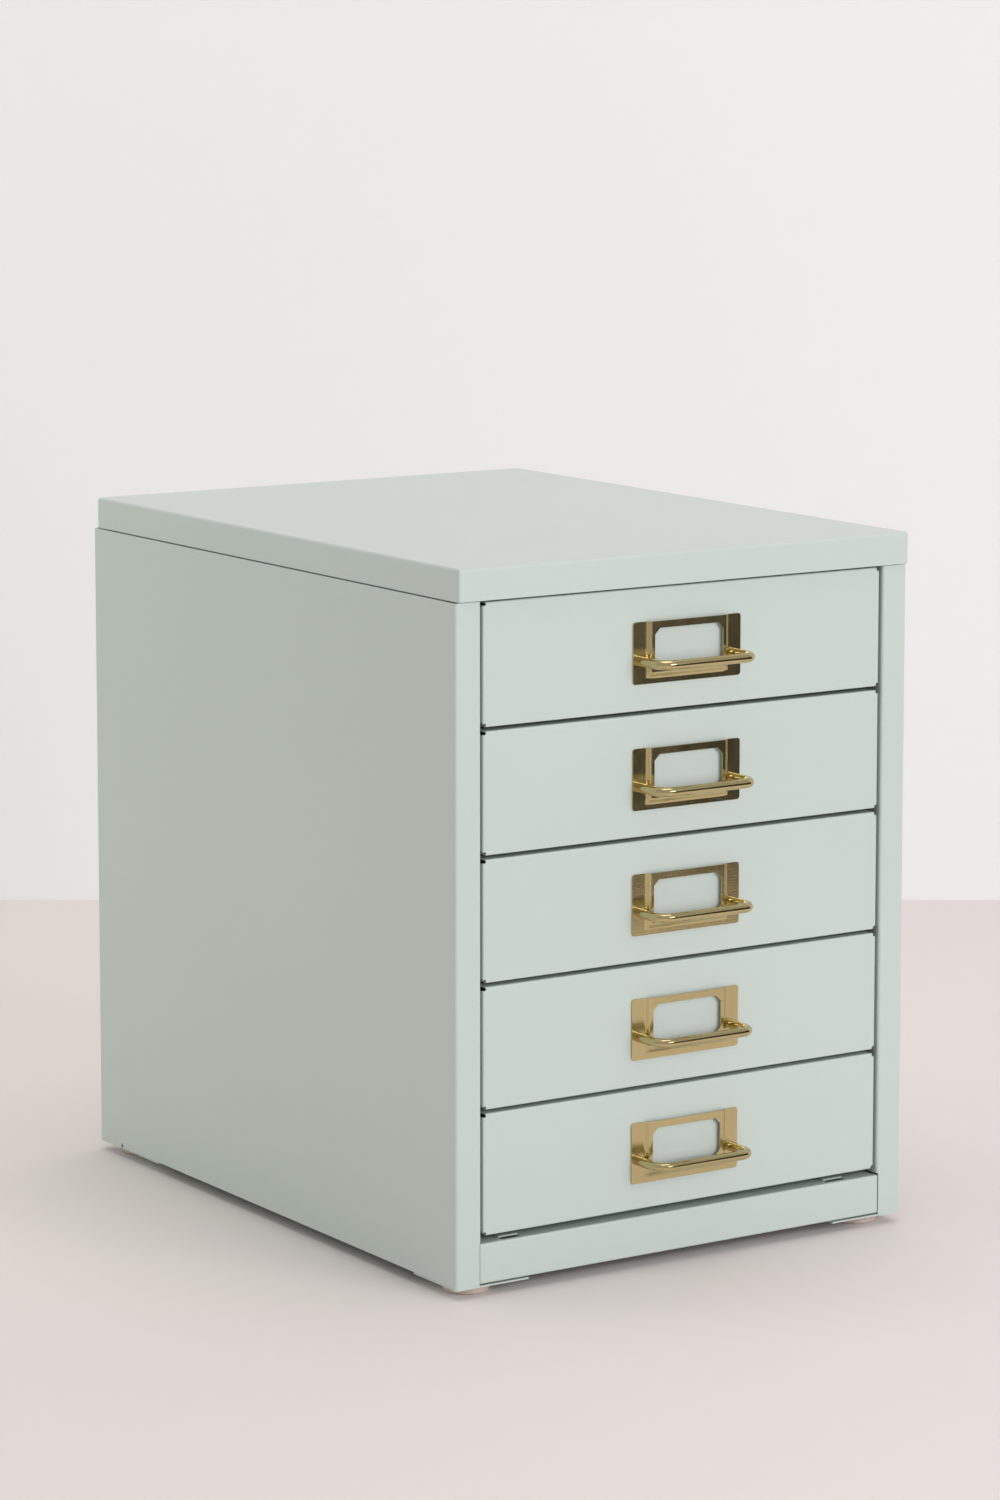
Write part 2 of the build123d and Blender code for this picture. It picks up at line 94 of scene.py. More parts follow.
# Screws, rivets and feet, where their packed boxes don't give a size
SCREW_HEAD_HEIGHT = 2.0 * MM
PULL_SCREW_SHANK = 1.5 * MM
PULL_SCREW_TURNS = (0.4, 1.1)
TOP_SCREW_HEAD = 3.8 * MM
TOP_SCREW_SHANK = 1.9 * MM
TOP_SCREW_TURNS = (9, 5)  # radians per metre along X and Y
RIVET_HEAD = 3.2 * MM
RIVET_HEAD_HEIGHT = 0.9 * MM
RIVET_SHANK = 1.6 * MM
RIVET_HOLE = 0.9 * MM
RIVET_HOLE_DEPTH = 0.5 * MM
RIVET_ROWS = 4
FOOT_SIDES = 64
FOOT_TAPER = 1.0 * MM
FOOT_ROUNDING = 1.1 * MM
FOOT_EDGE = 0.3 * MM
DISH_DEPTH = 0.4 * MM

# Stage
FLOOR_SIZE = 14.0
WALL_SIZE = 8.0
CARD_PLACE = (0.5, -0.91, 0.25)
CARD_TURN = math.radians(33.0)
CARD_SIZE = (1.6, 0.5, 1.0)
LAMP_TARGET = (0, 0, 0.18)
# Name, place, size and colour of each lamp. The stage settings hold its power.
LAMPS = (
    ("overhead", (0.0, -0.1, 2.6), 1.8, "FFF4F3"),
    ("front", (0.5, -2.2, 0.7), 1.2, "FFFFFF"),
    ("left_rear", (-1.4, 1.0, 0.6), 0.8, "F3FFE8"),
)


# ---- Colours and shader nodes ------------------------------------------------------
def linear(hex_colour):
    """Linear RGBA of an sRGB hex colour such as C4CFCA."""
    channels = [int(hex_colour[i : i + 2], 16) / 255 for i in (0, 2, 4)]
    return [c / 12.92 if c <= 0.04045 else ((c + 0.055) / 1.055) ** 2.4 for c in channels] + [1.0]


def tones(colour, shares):
    """The darkest and lightest tone of a colour, for the A and B inputs of a colour mix."""
    dark, light = ([channel * share for channel in colour[:3]] + [1.0] for share in shares)
    return {6: dark, 7: light}


def per_metre(size_mm):
    """Texture scale that makes a pattern's features this many millimetres wide."""
    return 1.0 / (size_mm * MM)


def add_node(tree, kind, values=None, links=None, **attributes):
    """Adds one node, sets its attributes and input values, and links sources to its inputs."""
    made = tree.nodes.new(kind)
    for name, value in attributes.items():
        setattr(made, name, value)
    for name, value in (values or {}).items():
        made.inputs[name].default_value = value
    for name, source in (links or {}).items():
        tree.links.new(source, made.inputs[name])
    return made


def new_material(name):
    """A material with an empty node tree."""
    material = bpy.data.materials.new(name)
    material.use_nodes = True
    material.node_tree.nodes.clear()
    return material, material.node_tree


def powder_coat(finish):
    """Satin polyester powder coat, sprayed and baked: fine orange peel, no flake, even colour."""
    material, tree = new_material("sage_powder_coat")
    coordinates = add_node(tree, "ShaderNodeTexCoord").outputs["Object"]
    cloud = add_node(
        tree,
        "ShaderNodeTexNoise",
        values={"Scale": per_metre(PAINT_CLOUD_WIDTH), "Detail": 2.0},
        links={"Vector": coordinates},
    )
    colour = add_node(
        tree,
        "ShaderNodeMix",
        values=tones(finish.paint_colour, PAINT_TONES),
        links={0: cloud.outputs["Fac"]},
        data_type="RGBA",
    )
    # Real orange peel is about 1 mm across; it is drawn a little coarser so that it shows.
    peel = add_node(
        tree,
        "ShaderNodeTexNoise",
        values={"Scale": per_metre(finish.peel_size), "Detail": 1.5, "Roughness": 0.45},
        links={"Vector": coordinates},
    )
    gloss = add_node(
        tree,
        "ShaderNodeMapRange",
        values={
            "To Min": finish.paint_roughness - PAINT_ROUGHNESS_PLAY,
            "To Max": finish.paint_roughness + PAINT_ROUGHNESS_PLAY,
        },
        links={"Value": peel.outputs["Fac"]},
    )
    bump = add_node(
        tree,
        "ShaderNodeBump",
        values={"Strength": 0.12, "Distance": PEEL_DEPTH * MM},
        links={"Height": peel.outputs["Fac"]},
    )
    shader = add_node(
        tree,
        "ShaderNodeBsdfPrincipled",
        values={"IOR": 1.5},
        links={
            "Base Color": colour.outputs[2],
            "Roughness": gloss.outputs["Result"],
            "Normal": bump.outputs["Normal"],
        },
    )
    add_node(tree, "ShaderNodeOutputMaterial", links={"Surface": shader.outputs["BSDF"]})
    return material


def polished_brass(finish):
    """Solid brass rod, mirror polished and lacquered: sharp reflections, slightly clouded."""
    return brass(finish, "polished_brass", finish.bar_roughness, finish.bar_grain)


def brushed_brass(finish):
    """Pressed brass sheet, buffed along its length: reflections are drawn out up and down."""
    return brass(finish, "brushed_brass", finish.plate_roughness, finish.plate_grain)


def brass(finish, name, roughness, grain_depth):
    """Brass with buffing lines along X that are this deep, and a little clouded by handling."""
    material, tree = new_material(name)
    coordinates = add_node(tree, "ShaderNodeTexCoord").outputs["Object"]
    stretched = add_node(
        tree,
        "ShaderNodeMapping",
        values={"Scale": (GRAIN_STRETCH, 1.0, 1.0)},
        links={"Vector": coordinates},
    )
    # Real buffing lines are finer; these are as coarse as they need to be to show.
    grain = add_node(
        tree,
        "ShaderNodeTexNoise",
        values={"Scale": per_metre(finish.grain_width), "Detail": 2.0, "Roughness": 0.6},
        links={"Vector": stretched.outputs["Vector"]},
    )
    handling = add_node(
        tree,
        "ShaderNodeTexNoise",
        values={"Scale": per_metre(HANDLING_WIDTH), "Detail": 4.0},
        links={"Vector": coordinates},
    )
    colour = add_node(
        tree,
        "ShaderNodeMix",
        values=tones(finish.brass_colour, BRASS_TONES),
        links={0: handling.outputs["Fac"]},
        data_type="RGBA",
    )
    gloss = add_node(
        tree,
        "ShaderNodeMapRange",
        values={
            "To Min": roughness * BRASS_ROUGHNESS_SHARES[0],
            "To Max": roughness * BRASS_ROUGHNESS_SHARES[1],
        },
        links={"Value": handling.outputs["Fac"]},
    )
    bump = add_node(
        tree,
        "ShaderNodeBump",
        values={"Strength": 1.0, "Distance": grain_depth * MM},
        links={"Height": grain.outputs["Fac"]},
    )
    shader = add_node(
        tree,
        "ShaderNodeBsdfPrincipled",
        values={"Metallic": 1.0},
        links={
            "Base Color": colour.outputs[2],
            "Roughness": gloss.outputs["Result"],
            "Normal": bump.outputs["Normal"],
        },
    )
    add_node(tree, "ShaderNodeOutputMaterial", links={"Surface": shader.outputs["BSDF"]})
    return material


def zinc_plate(finish):
    """Bright zinc plating on turned and headed fasteners: pale grey, slightly cloudy."""
    material, tree = new_material("zinc_plate")
    coordinates = add_node(tree, "ShaderNodeTexCoord").outputs["Object"]
    cloud = add_node(
        tree,
        "ShaderNodeTexNoise",
        values={"Scale": per_metre(ZINC_CLOUD_WIDTH), "Detail": 3.0},
        links={"Vector": coordinates},
    )
    colour = add_node(
        tree,
        "ShaderNodeMix",
        values=tones(finish.zinc_colour, ZINC_TONES),
        links={0: cloud.outputs["Fac"]},
        data_type="RGBA",
    )
    gloss = add_node(
        tree,
        "ShaderNodeMapRange",
        values={"To Min": ZINC_ROUGHNESS[0], "To Max": ZINC_ROUGHNESS[1]},
        links={"Value": cloud.outputs["Fac"]},
    )
    bump = add_node(
        tree,
        "ShaderNodeBump",
        values={"Strength": 0.3, "Distance": ZINC_CLOUD_DEPTH * MM},
        links={"Height": cloud.outputs["Fac"]},
    )
    shader = add_node(
        tree,
        "ShaderNodeBsdfPrincipled",
        values={"Metallic": 1.0},
        links={
            "Base Color": colour.outputs[2],
            "Roughness": gloss.outputs["Result"],
            "Normal": bump.outputs["Normal"],
        },
    )
    add_node(tree, "ShaderNodeOutputMaterial", links={"Surface": shader.outputs["BSDF"]})
    return material


def bumper_rubber(finish):
    """Moulded polyurethane bumper: soft satin, lets some light through, picks up dust."""
    material, tree = new_material("bumper_rubber")
    coordinates = add_node(tree, "ShaderNodeTexCoord").outputs["Object"]
    dust = add_node(
        tree,
        "ShaderNodeTexNoise",
        values={"Scale": per_metre(DUST_WIDTH), "Detail": 5.0, "Roughness": 0.65},
        links={"Vector": coordinates},
    )
    colour = add_node(
        tree,
        "ShaderNodeMix",
        values=tones(finish.rubber_colour, RUBBER_TONES),
        links={0: dust.outputs["Fac"]},
        data_type="RGBA",
    )
    gloss = add_node(
        tree,
        "ShaderNodeMapRange",
        values={"To Min": RUBBER_ROUGHNESS[0], "To Max": RUBBER_ROUGHNESS[1]},
        links={"Value": dust.outputs["Fac"]},
    )
    bump = add_node(
        tree,
        "ShaderNodeBump",
        values={"Strength": 0.3, "Distance": DUST_DEPTH * MM},
        links={"Height": dust.outputs["Fac"]},
    )
    shader = add_node(
        tree,
        "ShaderNodeBsdfPrincipled",
        values={
            "IOR": 1.5,
            "Subsurface Weight": 0.35,
            "Subsurface Scale": 3.0 * MM,
            "Subsurface Radius": (1.0, 0.6, 0.4),
        },
        links={
            "Base Color": colour.outputs[2],
            "Roughness": gloss.outputs["Result"],
            "Normal": bump.outputs["Normal"],
        },
    )
    add_node(tree, "ShaderNodeOutputMaterial", links={"Surface": shader.outputs["BSDF"]})
    return material


# ---- Modelling helpers -------------------------------------------------------------
def select_only(*objects):
    """Leaves just these objects selected, and the first of them active."""
    bpy.ops.object.select_all(action="DESELECT")
    for each in objects:
        each.select_set(True)
    bpy.context.view_layer.objects.active = objects[0]


def start(primitive, name, stretch=(1.0, 1.0, 1.0), **settings):
    """Adds a primitive with nothing else selected, and applies its place, turn and scale."""
    bpy.ops.object.select_all(action="DESELECT")
    primitive(**settings)
    made = bpy.context.object
    made.name = name
    made.scale = stretch
    bpy.ops.object.transform_apply(location=True, rotation=True, scale=True)
    return made


def middle(part):
    """Middle of a vertex, edge or face of an edit mesh."""
    if isinstance(part, bmesh.types.BMVert):
        return part.co
    if isinstance(part, bmesh.types.BMEdge):
        return (part.verts[0].co + part.verts[1].co) / 2
    return part.calc_center_median()


def pick(piece, kind, test):
    """In edit mode, selects only the verts, edges or faces that pass a test of their middle."""
    bpy.ops.mesh.select_mode(type={"verts": "VERT", "edges": "EDGE", "faces": "FACE"}[kind])
    bpy.ops.mesh.select_all(action="DESELECT")
    mesh = bmesh.from_edit_mesh(piece.data)
    for part in getattr(mesh, kind):
        if test(part, middle(part)):
            part.select_set(True)
    bmesh.update_edit_mesh(piece.data)


def extrude(x, y, z):
    """Extrudes the selection and moves it."""
    bpy.ops.mesh.extrude_region_move(TRANSFORM_OT_translate={"value": (x, y, z)})


def edit(piece):
    """Opens a piece in edit mode, on its own."""
    select_only(piece)
    bpy.ops.object.mode_set(mode="EDIT")
    bpy.ops.mesh.select_all(action="SELECT")


def close(piece, smooth_degrees=35.0):
    """Leaves edit mode with faces that point outwards and smooth rounds."""
    bpy.ops.mesh.select_all(action="SELECT")
    bpy.ops.mesh.remove_doubles(threshold=0.001 * MM)
    bpy.ops.mesh.normals_make_consistent(inside=False)
    bpy.ops.object.mode_set(mode="OBJECT")
    bpy.ops.object.shade_smooth_by_angle(angle=math.radians(smooth_degrees))


def apply_modifier(piece, kind, **settings):
    """Adds a modifier, sets it and applies it."""
    select_only(piece)
    modifier = piece.modifiers.new(kind.lower(), kind)
    for name, value in settings.items():
        setattr(modifier, name, value)
    bpy.ops.object.modifier_apply(modifier=modifier.name)


def take_away(piece, tool):
    """Cuts the shape of one piece out of another, and removes the cutting piece."""
    apply_modifier(piece, "BOOLEAN", operation="DIFFERENCE", object=tool, solver="EXACT")
    remove(tool)


def copied(piece, name, matrix):
    """A copy with its own mesh, moved within that mesh, so that the object stays at the origin."""
    made = piece.copy()
    made.data = piece.data.copy()
    made.data.transform(matrix)
    made.name = name
    bpy.context.scene.collection.objects.link(made)
    return made


def joined(name, copies):
    """Several copies as one piece."""
    select_only(*copies)
    bpy.ops.object.join()
    made = bpy.context.object
    made.name = name
    return made


def remove(piece):
    """Takes away a piece that was only a pattern or a tool."""
    bpy.data.objects.remove(piece, do_unlink=True)


def finish_piece(piece, material, body, slot, *nodes):
    """Gives a new piece its material and body, and hides the nodes that it stands for. The slot is
    not used.
    """
    piece.data.materials.clear()
    piece.data.materials.append(material)
    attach(piece, body)
    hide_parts(*nodes)


def node_step(node, first):
    """Move from the first node of a row of like nodes to this one."""
    return Matrix.Translation(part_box(node)[0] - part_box(first)[0])


def material_named(name, maker):
    """The material of this name, made once from the finish settings."""
    return bpy.data.materials.get(name) or maker(bpy.context.scene.cabinet_finish)


# ---- Settings ----------------------------------------------------------------------
class CabinetFinish(bpy.types.PropertyGroup):
    """Colours and surface of the paint, brass, zinc and rubber."""

    paint_colour: bpy.props.FloatVectorProperty(
        name="Paint",
        description="Colour of the powder coat",
        subtype="COLOR",
        size=4,
        default=linear("C4CFCA"),
    )
    paint_roughness: bpy.props.FloatProperty(
        name="Paint roughness", description="How matt the powder coat is", default=0.3
    )
    peel_size: bpy.props.FloatProperty(
        name="Orange peel", description="Width of one ripple in the paint, in mm", default=1.6
    )
    brass_colour: bpy.props.FloatVectorProperty(
        name="Brass",
        description="Colour of the brass",
        subtype="COLOR",
        size=4,
        default=linear("C5B585"),
    )
    bar_roughness: bpy.props.FloatProperty(
        name="Bar roughness", description="How matt the bars are", default=0.1
    )
    plate_roughness: bpy.props.FloatProperty(
        name="Plate roughness", description="How matt the label plates are", default=0.16
    )
    grain_width: bpy.props.FloatProperty(
        name="Brass grain", description="Width of one buffing line, in mm", default=0.3
    )
    bar_grain: bpy.props.FloatProperty(
        name="Bar grain", description="Depth of the buffing lines on the bars, in mm", default=0.002
    )
    plate_grain: bpy.props.FloatProperty(
        name="Plate grain",
        description="Depth of the buffing lines on the plates, in mm",
        default=0.015,
    )
    zinc_colour: bpy.props.FloatVectorProperty(
        name="Zinc",
        description="Colour of screws and rivets",
        subtype="COLOR",
        size=4,
        default=linear("C9CBC8"),
    )
    rubber_colour: bpy.props.FloatVectorProperty(
        name="Rubber",
        description="Colour of the feet",
        subtype="COLOR",
        size=4,
        default=linear("D0C0B5"),
    )


class PullSizes(bpy.types.PropertyGroup):
    """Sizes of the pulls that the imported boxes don't give."""

    bar_bend: bpy.props.FloatProperty(
        name="Bar bend",
        description="Bend radius at the middle of the bar",
        subtype="DISTANCE",
        default=6.5 * MM,
    )
    sheet: bpy.props.FloatProperty(
        name="Plate thickness",
        description="Thickness of the pressed plate",
        subtype="DISTANCE",
        default=0.8 * MM,
    )
    frame_width: bpy.props.FloatProperty(
        name="Frame width",
        description="Width of the embossed frame where it leaves the plate",
        subtype="DISTANCE",
        default=50.4 * MM,
    )
    frame_foot: bpy.props.FloatProperty(
        name="Frame foot",
        description="Flat strip below the embossed frame",
        subtype="DISTANCE",
        default=3.3 * MM,
    )
    frame_slope: bpy.props.FloatProperty(
        name="Frame slope",
        description="Width of the sloping sides of the embossed frame",
        subtype="DISTANCE",
        default=1.9 * MM,
    )
    frame_corner: bpy.props.FloatProperty(
        name="Frame corner",
        description="Rounding of the two lower corners of the embossed frame",
        subtype="DISTANCE",
        default=3.0 * MM,
    )
    window_width: bpy.props.FloatProperty(
        name="Window width",
        description="Width of the label window",
        subtype="DISTANCE",
        default=42.4 * MM,
    )
    window_height: bpy.props.FloatProperty(
        name="Window height",
        description="Height of the label window",
        subtype="DISTANCE",
        default=20.0 * MM,
    )
    window_foot: bpy.props.FloatProperty(
        name="Window foot",
        description="From the plate's lower edge to the window",
        subtype="DISTANCE",
        default=8.3 * MM,
    )
    window_chamfer: bpy.props.FloatProperty(
        name="Window chamfer",
        description="Cut corners of the window",
        subtype="DISTANCE",
        default=3.2 * MM,
    )
    plate_corner: bpy.props.FloatProperty(
        name="Plate corner",
        description="Rounded corners of the plate",
        subtype="DISTANCE",
        default=1.5 * MM,
    )
    fold_rounding: bpy.props.FloatProperty(
        name="Fold rounding",
        description="How far the rounding of a fold in the plate reaches",
        subtype="DISTANCE",
        default=0.8 * MM,
    )
    edge_break: bpy.props.FloatProperty(
        name="Edge break",
        description="Width of the plate's broken edges",
        subtype="DISTANCE",
        default=0.12 * MM,
    )


class StageSettings(bpy.types.PropertyGroup):
    """Camera, lights and backdrop."""

    camera_place: bpy.props.FloatVectorProperty(
        name="Camera place",
        description="Where the camera stands",
        subtype="TRANSLATION",
        default=(-1.399, -2.136, 0.672),
    )
    camera_yaw: bpy.props.FloatProperty(
        name="Camera yaw",
        description="Turn of the view to the right of straight ahead",
        subtype="ANGLE",
        default=math.radians(33.24),
    )
    camera_tilt: bpy.props.FloatProperty(
        name="Camera tilt",
        description="Tilt of the view below the horizon",
        subtype="ANGLE",
        default=math.radians(7.77),
    )
    camera_lens: bpy.props.FloatProperty(
        name="Lens", description="Focal length on a 36 mm sensor, in mm", default=115.27
    )
    camera_shift: bpy.props.FloatProperty(
        name="Lens shift", description="Upward shift, as a share of the long side", default=-0.1
    )
    floor_colour: bpy.props.FloatVectorProperty(
        name="Floor",
        description="Colour of the floor",
        subtype="COLOR",
        size=4,
        default=linear("E7E0DE"),
    )
    wall_colour: bpy.props.FloatVectorProperty(
        name="Wall",
        description="Colour of the backdrop",
        subtype="COLOR",
        size=4,
        default=linear("F4F4F5"),
    )
    wall_distance: bpy.props.FloatProperty(
        name="Wall distance",
        description="From the camera to the backdrop, along the floor",
        subtype="DISTANCE",
        default=3.35,
    )
    world_level: bpy.props.FloatProperty(
        name="Room light", description="Strength of the even light of the room", default=0.5
    )
    overhead_power: bpy.props.FloatProperty(
        name="Overhead", description="Power of the overhead lamp, in watts", default=18.5
    )
    front_power: bpy.props.FloatProperty(
        name="Front", description="Power of the lamp in front, in watts", default=23.0
    )
    left_rear_power: bpy.props.FloatProperty(
        name="Left rear", description="Power of the lamp behind on the left, in watts", default=4.4
    )
    card_colour: bpy.props.FloatVectorProperty(
        name="Card",
        description="Colour of the card that the brass mirrors",
        subtype="COLOR",
        size=4,
        default=linear("1C1C1A"),
    )


# ---- Steelwork ---------------------------------------------------------------------
class CABINET_OT_paint_steel(bpy.types.Operator):
    """Powder-coat the panels, runners, trays and drawer fronts"""

    bl_idname = "cabinet.paint_steel"
    bl_label = "Paint the steelwork"

    def execute(self, context):
        """Every node of the painted slot keeps its shape and takes the powder coat."""
        coat = material_named("sage_powder_coat", powder_coat)
        for part in frame["record"]["subparts"]:
            if part["material_slot"] != "painted_steel":
                continue
            steel = frame["nodes"][part["node"]]
            steel.data.materials.clear()
            steel.data.materials.append(coat)
        return {"FINISHED"}


# ---- Pulls -------------------------------------------------------------------------
class CABINET_OT_pull_bars(bpy.types.Operator):
    """Bend the round bars of the pulls"""

    bl_idname = "cabinet.pull_bars"
    bl_label = "Pull bars"

    def execute(self, context):
        """One ring is drawn out, bent, drawn along, bent back and drawn in again."""
        low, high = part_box("bail_handle_1")
        radius = (high.z - low.z) / 2
        height = (high.z + low.z) / 2
        leg = high.x - radius
        bend = context.scene.pull_sizes.bar_bend
        turn_y = low.y + radius + bend
        bar = start(
            bpy.ops.mesh.primitive_circle_add,
            "pull_bar",
            vertices=ROUND_SIDES,
            radius=radius,
            location=(-leg, high.y, height),
            rotation=(RIGHT_ANGLE, 0, 0),
        )
        edit(bar)
        extrude(0, turn_y - high.y, 0)
        quarter = {"steps": 12, "angle": -RIGHT_ANGLE, "axis": (0, 0, 1)}
        bpy.ops.mesh.spin(center=(-leg + bend, turn_y, height), **quarter)
        extrude(2 * (leg - bend), 0, 0)
        bpy.ops.mesh.spin(center=(leg - bend, turn_y, height), **quarter)
        extrude(0, high.y - turn_y, 0)
        for side in (-1, 1):
            pick(bar, "edges", lambda e, at, side=side: e.is_boundary and at.x * side > 0)
            bpy.ops.mesh.edge_face_add()
        close(bar)
        metal = material_named("polished_brass", polished_brass)
        for number in DRAWERS:
            node = f"bail_handle_{number}"
            piece = copied(bar, f"pull_bar_{number}", node_step(node, "bail_handle_1"))
            finish_piece(piece, metal, f"drawer_{number}", "brass", node)
        remove(bar)
        return {"FINISHED"}


class CABINET_OT_label_plates(bpy.types.Operator):
    """Press the brass plates with their raised label frames"""

    bl_idname = "cabinet.label_plates"
    bl_label = "Label plates"

    def execute(self, context):
        """A flat plate is pressed, thickened, drilled and deburred, and copied to each drawer."""
        sizes = context.scene.pull_sizes
        plate = self.pressed(sizes)
        rounding = {"limit_method": "ANGLE", "use_clamp_overlap": True}
        apply_modifier(
            plate,
            "BEVEL",
            width=sizes.fold_rounding,
            segments=4,
            angle_limit=math.radians(20),
            **rounding,
        )
        apply_modifier(
            plate, "SOLIDIFY", thickness=sizes.sheet, offset=-1.0, use_even_offset=True
        )
        self.drill(plate)
        apply_modifier(
            plate,
            "BEVEL",
            width=sizes.edge_break,
            segments=2,
            angle_limit=math.radians(60),
            **rounding,
        )
        edit(plate)
        close(plate)
        apply_modifier(plate, "WEIGHTED_NORMAL", keep_sharp=True, weight=80)
        metal = material_named("brushed_brass", brushed_brass)
        for number in DRAWERS:
            node = f"label_plate_{number}"
            piece = copied(plate, f"label_frame_{number}", node_step(node, "label_plate_1"))
            finish_piece(piece, metal, f"drawer_{number}", "brass", node)
        remove(plate)
        return {"FINISHED"}

    def pressed(self, sizes):
        """The front face of the plate: cut into strips, its window cut out, its middle raised."""
        low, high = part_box("label_plate_1")
        front = high.y - sizes.sheet
        plate = start(
            bpy.ops.mesh.primitive_plane_add,
            "label_plate",
            stretch=(high.x - low.x, high.z - low.z, 1.0),
            size=1.0,
            location=((low.x + high.x) / 2, front, (low.z + high.z) / 2),
            rotation=(RIGHT_ANGLE, 0, 0),
        )
        half = sizes.frame_width / 2
        top = half - sizes.frame_slope
        window = sizes.window_width / 2
        frame_low = low.z + sizes.frame_foot
        top_low = frame_low + sizes.frame_slope
        window_low = low.z + sizes.window_foot
        window_high = window_low + sizes.window_height
        edit(plate)
        for x in (-half, -top, -window, window, top, half):
            self.cut((x, front, 0), (1, 0, 0))
        for z in (frame_low, top_low, window_low, window_high):
            self.cut((0, front, z), (0, 0, 1))

        def in_window(at):
            """Whether a place lies inside the window's rectangle."""
            return abs(at.x) < window and window_low < at.z < window_high

        # The window's corners are cut off before the eight-sided rest of it is taken away.
        corner = window - sizes.window_chamfer
        for side in (-1, 1):
            for lift, corner_z in ((-1, window_low), (1, window_high)):
                pick(plate, "faces", lambda f, at: in_window(at))
                bpy.ops.mesh.bisect(
                    plane_co=(side * corner, front, corner_z), plane_no=(side, 0, lift)
                )
        pick(plate, "faces", lambda f, at: in_window(at) and len(f.verts) >= 8)
        bpy.ops.mesh.delete(type="FACE")

        # The frame is raised up to the plate's upper edge, where it is open.
        pick(plate, "verts", lambda v, at: abs(at.x) < top + TINY and at.z > top_low - TINY)
        bpy.ops.transform.translate(value=(0, low.y - front, 0))
        slope_x = (half + top) / 2
        slope_z = (frame_low + top_low) / 2
        pick(
            plate,
            "edges",
            lambda e, at: abs(abs(at.x) - slope_x) < TINY and abs(at.z - slope_z) < TINY,
        )
        bpy.ops.mesh.bevel(offset=sizes.frame_corner, segments=6, affect="EDGES")
        pick(
            plate,
            "verts",
            lambda v, at: abs(at.x) > high.x - TINY
            and (at.z < low.z + TINY or at.z > high.z - TINY),
        )
        bpy.ops.mesh.bevel(offset=sizes.plate_corner, segments=5, affect="VERTICES")
        close(plate)
        return plate

    def cut(self, place, normal):
        """Cuts the whole plate along one line."""
        bpy.ops.mesh.select_all(action="SELECT")
        bpy.ops.mesh.bisect(plane_co=place, plane_no=normal)

    def drill(self, plate):
        """Cuts the two holes for the legs of the bar."""
        low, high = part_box("bail_handle_1")
        radius = (high.z - low.z) / 2
        for x in (low.x + radius, high.x - radius):
            tool = start(
                bpy.ops.mesh.primitive_cylinder_add,
                "drill",
                vertices=ROUND_SIDES,
                radius=radius + HOLE_PLAY,
                depth=DRILL_LENGTH,
                location=(x, high.y, (high.z + low.z) / 2),
                rotation=(RIGHT_ANGLE, 0, 0),
            )
            take_away(plate, tool)


# ---- Fasteners and feet ------------------------------------------------------------
def model_screw(name, head_radius, shank_radius, shank_length):
    """Pan-head screw with a cross recess: head on top of z = 0, shank below it."""
    head_height = SCREW_HEAD_HEIGHT
    dome = head_height * 0.48
    tip_inset = shank_radius * 0.35
    tip_length = shank_radius * 0.5
    slot_width = head_radius * 0.3
    slot_length = head_radius * 1.25
    slot_depth = head_height * 0.6
    slot_taper = 0.55
    screw = start(
        bpy.ops.mesh.primitive_cylinder_add,
        name,
        vertices=ROUND_SIDES,
        radius=head_radius,
        depth=head_height,
        location=(0, 0, head_height / 2),
    )
    edit(screw)
    pick(screw, "edges", lambda e, at: at.z > head_height - TINY)
    bpy.ops.mesh.bevel(offset=dome, segments=5, affect="EDGES")
    pick(screw, "faces", lambda f, at: f.normal.z < -0.9)
    bpy.ops.mesh.inset(thickness=head_radius - shank_radius)
    extrude(0, 0, -shank_length)
    bpy.ops.mesh.inset(thickness=tip_inset)
    bpy.ops.transform.translate(value=(0, 0, -tip_length))
    close(screw)
    for turn in (0, RIGHT_ANGLE):
        blade = start(
            bpy.ops.mesh.primitive_cube_add,
            "blade",
            stretch=(slot_length, slot_width, 2 * slot_depth),
            size=1.0,
            location=(0, 0, head_height),
        )
        blade.data.transform(Matrix.Rotation(turn, 4, "Z"))
        edit(blade)
        pick(blade, "verts", lambda v, at: at.z < head_height)
        bpy.ops.transform.resize(value=(slot_taper, slot_taper, 1.0))
        close(blade)
        take_away(screw, blade)
    edit(screw)
    close(screw, 40.0)
    return screw


class CABINET_OT_pull_screws(bpy.types.Operator):
    """Put the cross-recess screws of the pulls inside the drawers"""

    bl_idname = "cabinet.pull_screws"
    bl_label = "Pull screws"

    def execute(self, context):
        """Two screws for each drawer, heads towards the inside of the tray."""
        low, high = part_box("pull_screws_1")
        head_radius = (high.z - low.z) / 2
        length = high.y - low.y - SCREW_HEAD_HEIGHT
        pattern = model_screw("pull_screw", head_radius, PULL_SCREW_SHANK, length)
        zinc = material_named("zinc_plate", zinc_plate)
        facing_in = Matrix.Rotation(-RIGHT_ANGLE, 4, "X")
        for number in DRAWERS:
            node = f"pull_screws_{number}"
            low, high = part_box(node)
            pair = []
            for x, turn in zip((low.x + head_radius, high.x - head_radius), PULL_SCREW_TURNS):
                place = Vector((x, high.y - SCREW_HEAD_HEIGHT, (low.z + high.z) / 2))
                recess = Matrix.Rotation(turn + number, 4, "Z")
                matrix = Matrix.Translation(place) @ facing_in @ recess
                pair.append(copied(pattern, f"{node}_copy", matrix))
            piece = joined(f"pull_screw_pair_{number}", pair)
            finish_piece(piece, zinc, f"drawer_{number}", "zinc_fasteners", node)
        remove(pattern)
        return {"FINISHED"}


